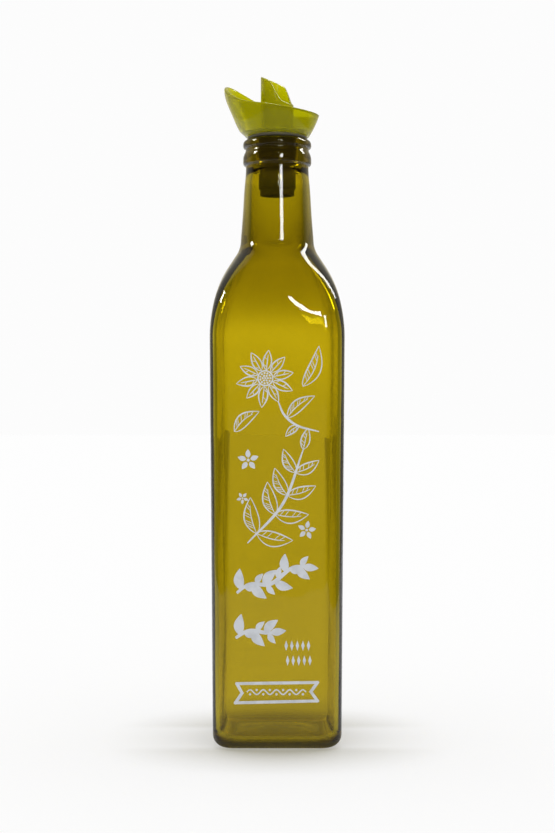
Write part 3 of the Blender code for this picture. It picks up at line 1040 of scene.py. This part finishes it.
def drawRibbon(mesh):
    # outlined band with forked ends, holding a waving line and dots
    form = printForm
    corners, line = form["ribbonCorners"], form["ribbonLine"]
    for index, corner in enumerate(corners):
        a, b = Vector(corner), Vector(corners[(index + 1) % len(corners)])
        reach = (b - a).normalized() * line * form["ribbonOverlap"]
        addStroke(mesh, [a - reach, a.lerp(b, 0.5), b + reach], line, form["evenTaper"])
    left, right, middle = form["ribbonWave"]
    wave, steps = [], 60
    for step in range(steps + 1):
        swing = form["ribbonSwing"] * math.sin(2 * math.pi * form["ribbonWaves"] * step / steps)
        wave.append(Vector((mix(left, right, step / steps), middle + swing)))
    addStroke(mesh, wave, form["line"], form["ribbonTaper"])
    halves = int(2 * form["ribbonWaves"])
    for index in range(halves):
        across = mix(left, right, (index + 0.5) / halves)
        drop = -form["ribbonDrop"] if index % 2 == 0 else form["ribbonDrop"]
        addDot(mesh, (across, middle + drop), form["ribbonDot"])


def makePrint(material):
    mesh = bmesh.new()
    drawDaisy(mesh)
    drawSprig(mesh)
    for start, end, leaves in printForm["garlands"]:
        drawGarland(mesh, start, end, leaves)
    drawLozenges(mesh)
    drawRibbon(mesh)
    piece = addPiece("frontPrint", mesh, material)
    piece.data.shade_flat()
    return piece


enamelMaterial = makeEnamelMaterial()
frontPrint = makePrint(enamelMaterial)
print("print made:", len(frontPrint.data.polygons), "faces")


stageLook = {
    "floorColour": 0.50,
    "floorGlow": 0.525,  # the table is lit softly from below
    "floorRoughness": 0.95,
    "floorSheen": 0.36,  # how much of it the glass mirrors from the front
    "backSheen": 0.80,  # and from behind, along the edges
    "sheenBlend": 0.2,
    "floorCorners": ((-0.3, -0.55), (0.3, -0.55), (4.8, 12.0), (-7.8, 12.0)),
    "paintedSideShade": 0.46,  # painted shade: the table's sides are darker through the glass, like the room
    "sideReach": (0.08, 0.45),  # metres aside
    "sideSpread": 0.06,  # they start further out with each metre back
    "paintedPoolGlow": 0.25,  # painted pool of light under the foot, seen only through the glass it stands under
    "paintedPoolRim": 0.8,
    "spotHalf": 0.021,
    "spotReach": 0.029,
    "contactReach": 0.05,
    "contactStart": 0.5,
    "contactColour": (0.48, 0.46, 0.37),
    "contactSides": 0.3,  # share of the shade left beside the bottle
    "contactAhead": (0.018, 0.030),
    "panelLeft": (-60.0, -22.0),  # degrees from straight behind, where the lit panel fades
    "panelRight": (12.0, 48.0),
    "panelLevel": 0.5,
    "panelSheen": 1.1,  # the panel as the glass's outer face mirrors it
    "panelBand": 0.27,  # brighter band low on the panel
    "bandRise": (-0.01, 0.05),
    "bandFall": (0.07, 0.20),
    "darkRoom": 0.54,
    "frontRoom": 0.30,  # what the room on the camera's side adds to it
    "frontTurn": (55.0, 95.0),  # degrees from straight in front, where that fades
    "mirrorTint": (1.0, 0.94, 0.76),
    "mirrorRoom": 0.04,
    "sideRoom": 0.50,  # the room's sides as the glass's outer face mirrors them
    "sideTurn": (90.0, 118.0),
    "sideRise": (-0.35, -0.2),
    "lowRoom": 0.13,
    "lowTurn": (12.0, 24.0),
    "lowRise": (-0.025, 0.015),
    "frontFill": 0.85,  # what the table gets from the camera's side
    "backFill": 1.05,
    "fillBlend": 0.3,
    "cameraWhite": 0.975,
    "lampAim": 0.15,  # metres up
}

softboxes = {
    # degrees right of the camera, degrees up, metres away, width, height, watts, what it lights
    "frontStrip": (4.3, 23.8, 2.4, 0.048, 0.38, 1.2, "all"),
    "neckStrip": (14.5, 16.3, 2.4, 0.42, 0.42, 9.0, "glass"),
    "rightSoftbox": (113.0, 48.0, 1.6, 0.26, 1.15, 11.0, "all"),
    "leftLamp": (-92.0, 36.0, 1.6, 0.28, 0.34, 6.5, "glass"),
    "rimLamp": (20.0, 84.0, 1.0, 0.35, 0.35, 9.0, "pourer"),
}


def makeFloor():
    look = stageLook
    material, tree, shader = newMaterial("paleTable")
    shader.inputs["Roughness"].default_value = look["floorRoughness"]
    shader.inputs["Specular IOR Level"].default_value = 0.0
    sight = tree.nodes.new("ShaderNodeLightPath")
    through = sight.outputs["Is Transmission Ray"]
    x, y = splitPlace(tree)[:2]
    across, along = addMath(tree, "ABSOLUTE", x), addMath(tree, "ABSOLUTE", y)

    # less of it is mirrored
    less = addRamp(tree, y, -look["sheenBlend"], look["sheenBlend"],
                   look["floorSheen"] - 1.0, look["backSheen"] - 1.0)
    sheen = addMath(tree, "MULTIPLY_ADD", sight.outputs["Is Reflection Ray"], less, 1.0)

    # soft shade round the foot, most of it in front and behind
    near = tree.nodes.new("ShaderNodeAmbientOcclusion")
    near.inputs["Distance"].default_value = look["contactReach"]
    contact = addRamp(tree, near.outputs["AO"], look["contactStart"], 1.0, 1.0, 0.0)
    ahead = addSmoothRamp(tree, along, *look["contactAhead"], look["contactSides"], 1.0)
    shaded = addMath(tree, "MULTIPLY", contact, ahead)
    shade = addBlend(tree, shaded, (1.0, 1.0, 1.0), look["contactColour"])

    # through the glass only: a painted pool of light under the foot, and painted shade on the
    # table's sides
    away = addMath(tree, "MAXIMUM", across, along)
    inner = addMath(tree, "LESS_THAN", away, look["spotHalf"])
    outer = addMath(tree, "LESS_THAN", away, look["spotReach"])
    spot = addMath(tree, "MULTIPLY_ADD", inner, look["paintedPoolGlow"] - look["paintedPoolRim"], look["paintedPoolRim"])
    spot = addMath(tree, "MULTIPLY", addMath(tree, "MULTIPLY", spot, outer), through)
    # painted shade on the table's sides, only where it is seen through the glass
    sideways = addMath(tree, "MULTIPLY_ADD", y, -look["sideSpread"], across)
    dim = addRamp(tree, sideways, *look["sideReach"], 0.0, look["paintedSideShade"])
    kept = addMath(tree, "SUBTRACT", 1.0, addMath(tree, "MULTIPLY", dim, through))

    level = addMath(tree, "MULTIPLY", addMath(tree, "MULTIPLY", sheen, look["floorColour"]), kept)
    glow = addMath(tree, "MULTIPLY_ADD", sheen, look["floorGlow"], spot)
    colour = tree.nodes.new("ShaderNodeVectorMath")
    colour.operation = "SCALE"
    tree.links.new(shade, colour.inputs["Vector"])
    tree.links.new(level, colour.inputs["Scale"])
    tree.links.new(colour.outputs["Vector"], shader.inputs["Base Color"])
    tree.links.new(shade, shader.inputs["Emission Color"])
    tree.links.new(addMath(tree, "MULTIPLY", glow, kept), shader.inputs["Emission Strength"])

    mesh = bmesh.new()
    mesh.faces.new([mesh.verts.new((x, y, 0.0)) for x, y in look["floorCorners"]])
    floor = addObject("paleFloor", mesh, material)


def makeWorld():
    look = stageLook
    world = bpy.data.worlds.new("softStudio")
    bpy.context.scene.world = world
    world.use_nodes = True
    tree = world.node_tree
    background = tree.nodes["Background"]
    sight = tree.nodes.new("ShaderNodeLightPath")
    x, y, up = splitPlace(tree, "Generated")

    def choose(factor, first, second):
        node = tree.nodes.new("ShaderNodeMix")
        for label, value in (("Factor", factor), ("A", first), ("B", second)):
            feed(tree, node.inputs[label], value)
        return node.outputs["Result"]

    # lit panel straight behind, with its band
    aside = addMath(tree, "MULTIPLY", addMath(tree, "ARCTAN2", x, y), 180.0 / math.pi)
    left = addSmoothRamp(tree, aside, *look["panelLeft"], 0.0, 1.0)
    right = addSmoothRamp(tree, aside, *look["panelRight"], 1.0, 0.0)
    band = addMath(tree, "MULTIPLY",
                   addSmoothRamp(tree, up, *look["bandRise"], 0.0, look["panelBand"]),
                   addSmoothRamp(tree, up, *look["bandFall"], 1.0, 0.0))
    panel = addMath(tree, "MULTIPLY", addMath(tree, "MULTIPLY", left, right),
                    addMath(tree, "ADD", band, look["panelLevel"]))

    # the room round it, as it shows through the glass
    turned = addMath(tree, "SUBTRACT", 180.0, addMath(tree, "ABSOLUTE", aside))
    low = addSmoothRamp(tree, turned, *look["lowTurn"], look["lowRoom"], 0.0)
    lit = addMath(tree, "ADD", panel, addSmoothRamp(tree, up, *look["lowRise"], low, 0.0))
    front = addSmoothRamp(tree, turned, *look["frontTurn"], look["frontRoom"], 0.0)
    level = addMath(tree, "ADD", addMath(tree, "ADD", lit, front), look["darkRoom"])

    # what is mirrored, what the table gets and what the camera sees
    sides = addMath(tree, "MULTIPLY",
                    addSmoothRamp(tree, turned, *look["sideTurn"], 0.0, look["sideRoom"]),
                    addSmoothRamp(tree, up, *look["sideRise"], 0.0, 1.0))
    mirrored = addMath(tree, "MULTIPLY_ADD", lit, look["panelSheen"], look["mirrorRoom"])
    mirrored = addMath(tree, "MAXIMUM", mirrored, sides)
    fill = addSmoothRamp(tree, y, -look["fillBlend"], look["fillBlend"],
                         look["frontFill"], look["backFill"])
    isMirror, isDiffuse = sight.outputs["Is Reflection Ray"], sight.outputs["Is Diffuse Ray"]
    level = choose(isMirror, level, mirrored)
    level = choose(isDiffuse, level, fill)
    level = choose(sight.outputs["Is Camera Ray"], level, look["cameraWhite"])
    tree.links.new(level, background.inputs["Strength"])
    onlyMirror = addMath(tree, "SUBTRACT", isMirror, isDiffuse)
    tint = addBlend(tree, onlyMirror, (1.0, 1.0, 1.0), look["mirrorTint"])
    tree.links.new(tint, background.inputs["Color"])


def makeSoftbox(name, values, groups):
    azimuth, elevation, distance, width, height, power, lit = values
    light = bpy.data.lights.new(name, "AREA")
    light.shape = "RECTANGLE"
    light.size = width
    light.size_y = height
    light.energy = power
    lamp = bpy.data.objects.new(name, light)
    bpy.context.scene.collection.objects.link(lamp)
    lamp.light_linking.receiver_collection = groups[lit]
    a, e = math.radians(azimuth), math.radians(elevation)
    offset = Vector((math.sin(a) * math.cos(e), -math.cos(a) * math.cos(e), math.sin(e)))
    lamp.location = Vector((0.0, 0.0, stageLook["lampAim"])) + offset * distance
    lamp.rotation_euler = (-offset).to_track_quat("-Z", "Y").to_euler()


cameraView = {
    "distance": 0.700,
    "height": 0.1405,
    "aside": 0.00013,
    "lens": 68.95,
    "sensor": 36.0,
    "shift": 0.001,
}


def makeCamera():
    view = cameraView
    camera = bpy.data.cameras.new("frontCamera")
    camera.lens = view["lens"]
    camera.sensor_width = view["sensor"]
    camera.shift_y = view["shift"]
    holder = bpy.data.objects.new("frontCamera", camera)
    holder.location = (view["aside"], -view["distance"], view["height"])
    holder.rotation_euler = (quarterTurn, 0.0, 0.0)
    bpy.context.scene.collection.objects.link(holder)
    bpy.context.scene.camera = holder


litPieces = {
    "all": (bottleGlass, rubberPlug, dripPourer, frontPrint),
    "glass": (bottleGlass,),
    "pourer": (dripPourer,),
}
litGroups = {}
for groupName, pieces in litPieces.items():
    litGroups[groupName] = bpy.data.collections.new("lit_" + groupName)
    for piece in pieces:
        litGroups[groupName].objects.link(piece)
makeFloor()
makeWorld()
for boxName, boxValues in softboxes.items():
    makeSoftbox(boxName, boxValues, litGroups)
makeCamera()
bpy.context.scene.view_settings.view_transform = "Standard"
print("stage ready")
